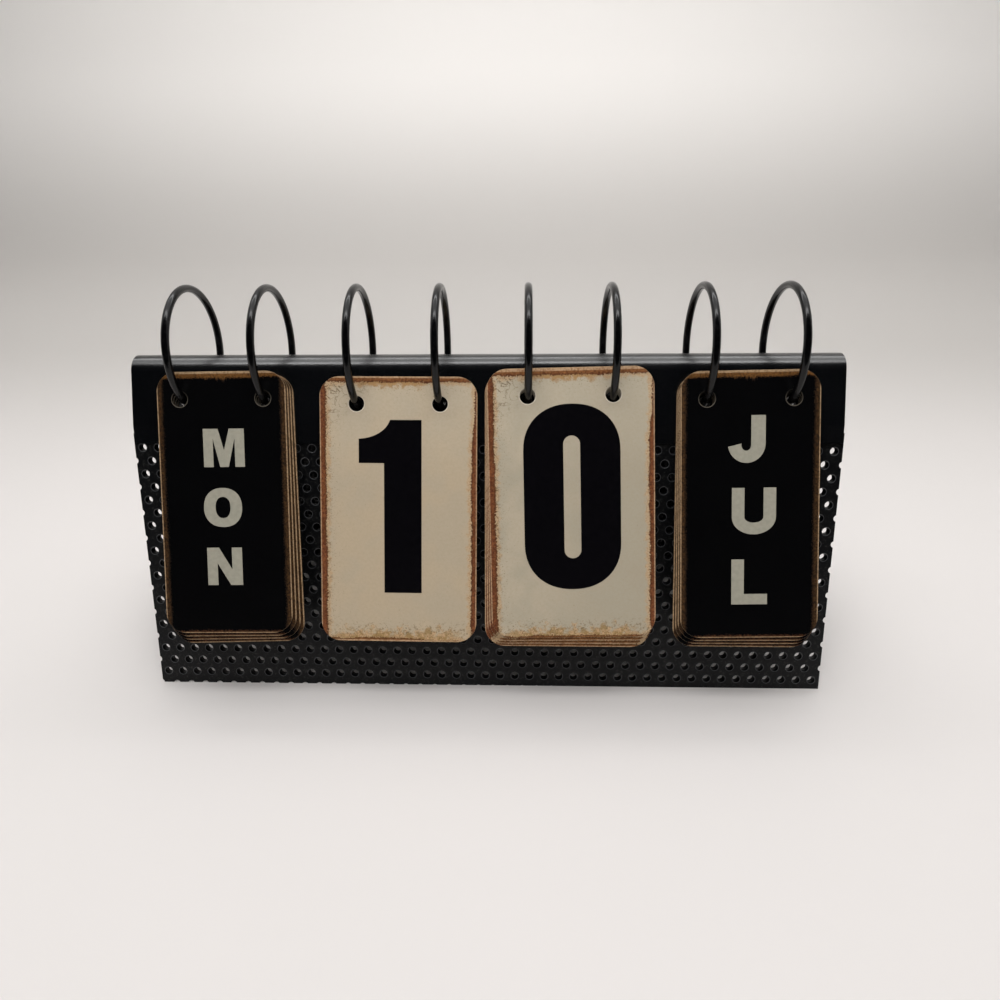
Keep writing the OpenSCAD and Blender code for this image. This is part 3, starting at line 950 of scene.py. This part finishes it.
def make_stage():
    """Pale seamless sweep: a floor that turns up into a wall behind.

    Beyond what the photograph's view takes in, it goes over into the pale room around it."""
    half, front, wall, top, bend = 4.0, -2.5, 1.6, 3.0, 0.7
    profile = [(front, 0.0), (wall - bend, 0.0)]
    profile += arc(wall - bend, bend, bend, bend, -90, 0, 24)[1:]
    profile.append((wall, top))
    verts = [(x, y, z) for x in (-half, half) for y, z in profile]
    n = len(profile)
    quads = [(i, i + n, i + n + 1, i + 1) for i in range(n - 1)]
    mesh = bpy.data.meshes.new("sweep")
    mesh.from_pydata(verts, [], quads)
    for face in mesh.polygons:
        face.use_smooth = True
    p = Paint("sweep_paper")
    place = p.node("SeparateXYZ", Vector=p.coords())
    colour = p.mix(p.noise(p.coords(), 3.0, 3.0), rgb(208, 204, 201), rgb(212, 207, 205))
    # painted shade: the paper darkens towards the back of the floor
    colour = p.mix(p.step(place.outputs[1], 0.05, 0.5), colour, rgb(180, 176, 172))
    # painted light: the paper brightens up the wall
    colour = p.mix(p.step(place.outputs[2], -0.06, 0.32), colour, rgb(242, 238, 234))
    # half the view's width grows with the distance from the camera
    view_half = p.math("MULTIPLY", p.math("ADD", place.outputs[1], 0.3), 0.75)
    aside = p.math("SUBTRACT", p.math("ABSOLUTE", place.outputs[0]), view_half)
    far = p.math("MAXIMUM", p.step(aside, 0.25, 1.0), p.step(place.outputs[1], -0.35, -1.1))
    paper = p.node("BsdfPrincipled", Base_Color=colour, Roughness=0.7)
    room = p.node("Emission", Color=ROOM_WHITE, Strength=ROOM_SEEN)
    both = p.node("MixShader", Fac=p.math("MULTIPLY", far, seen_ray(p.nodes, p.links)))
    p.links.new(paper.outputs[0], both.inputs[1])
    p.links.new(room.outputs[0], both.inputs[2])
    p.links.new(both.outputs[0], p.node("OutputMaterial").inputs["Surface"])
    sweep = new_object("sweep", mesh, p.material)


def make_flag():
    """Black flag behind the camera: only glossy rays see it, so black fronts mirror no room."""
    half, place, top = 5.0, -0.7, 3.0
    mesh = bpy.data.meshes.new("flag")
    corners = [(-half, place, 0), (half, place, 0), (half, place, top), (-half, place, top)]
    mesh.from_pydata(corners, [], [(0, 1, 2, 3)])
    p = Paint("flag_cloth")
    flag = new_object("flag", mesh, p.finish(Base_Color=rgb(4, 4, 4), Roughness=0.9,
                                             Specular_IOR_Level=0.0))
    for kind in ("camera", "diffuse", "transmission", "volume_scatter", "shadow"):
        setattr(flag, "visible_" + kind, False)


def area_light(name, place, aim, size, power):
    data = bpy.data.lights.new(name, "AREA")
    data.shape = "RECTANGLE"
    data.size, data.size_y = size
    data.energy = power
    obj = bpy.data.objects.new(name, data)
    bpy.context.scene.collection.objects.link(obj)
    obj.location = place
    obj.rotation_euler = (Vector(aim) - Vector(place)).to_track_quat("-Z", "Y").to_euler()
    return obj


def make_world():
    """A dim room with pale walls: dark towards the front, brighter behind and above."""
    world = bpy.data.worlds.new("studio")
    bpy.context.scene.world = world
    world.use_nodes = True
    nodes, links = world.node_tree.nodes, world.node_tree.links
    way = nodes.new("ShaderNodeSeparateXYZ")
    links.new(nodes.new("ShaderNodeTexCoord").outputs["Generated"], way.inputs[0])
    fall = nodes.new("ShaderNodeMapRange")
    fall.interpolation_type = "SMOOTHSTEP"
    links.new(way.outputs[1], fall.inputs["Value"])
    for key, value in (("From Min", -0.35), ("From Max", 0.25), ("To Min", 0.02), ("To Max", 0.5)):
        fall.inputs[key].default_value = value
    # a Mix node's factor and its two plain values are its sockets 0, 2 and 3
    seen = nodes.new("ShaderNodeMix")
    links.new(seen_ray(nodes, links), seen.inputs[0])
    links.new(fall.outputs["Result"], seen.inputs[2])
    seen.inputs[3].default_value = ROOM_SEEN
    back = nodes["Background"]
    back.inputs[0].default_value = ROOM_WHITE
    links.new(seen.outputs[0], back.inputs[1])


def make_lights():
    area_light("top_softbox", (0, 0.35, 1.15), (0, 0.35, 0), (1.6, 1.1), 6)
    area_light("front_strip", (0, -0.17, 1.1), (0, -0.05, 0.08), (1.2, 0.16), 3.8)
    area_light("wall_wash", (0, 0.75, 1.5), (0, 1.6, 0.35), (2.4, 0.3), 15.5)
    # fills the fronts without a glare in their gloss
    fill = area_light("front_fill", (0, -0.62, 1.0), (0, 0, 0.08), (1.2, 0.7), 7)
    fill.visible_glossy = False


def make_camera():
    """The photograph's view: from above, almost level across the front."""
    yaw, pitch, roll = (math.radians(a) for a in CAMERA_TURNS)
    look = Vector((math.sin(yaw)*math.cos(pitch), math.cos(yaw)*math.cos(pitch),
                   -math.sin(pitch)))
    level = Vector((math.cos(yaw), -math.sin(yaw), 0))
    right = level*math.cos(roll) + level.cross(look)*math.sin(roll)
    up = right.cross(look)
    data = bpy.data.cameras.new("view")
    data.sensor_width = SENSOR
    data.lens = FOCAL_PX/IMAGE_PX*SENSOR
    camera = bpy.data.objects.new("view", data)
    bpy.context.scene.collection.objects.link(camera)
    turn = Matrix((right, up, -look)).transposed().to_4x4()
    camera.matrix_world = Matrix.Translation(CAMERA_PLACE) @ turn
    bpy.context.scene.camera = camera


bpy.context.scene.view_settings.view_transform = "Standard"
make_camera()
make_stage()
make_flag()
make_world()
make_lights()
dress_easel()
make_cards()
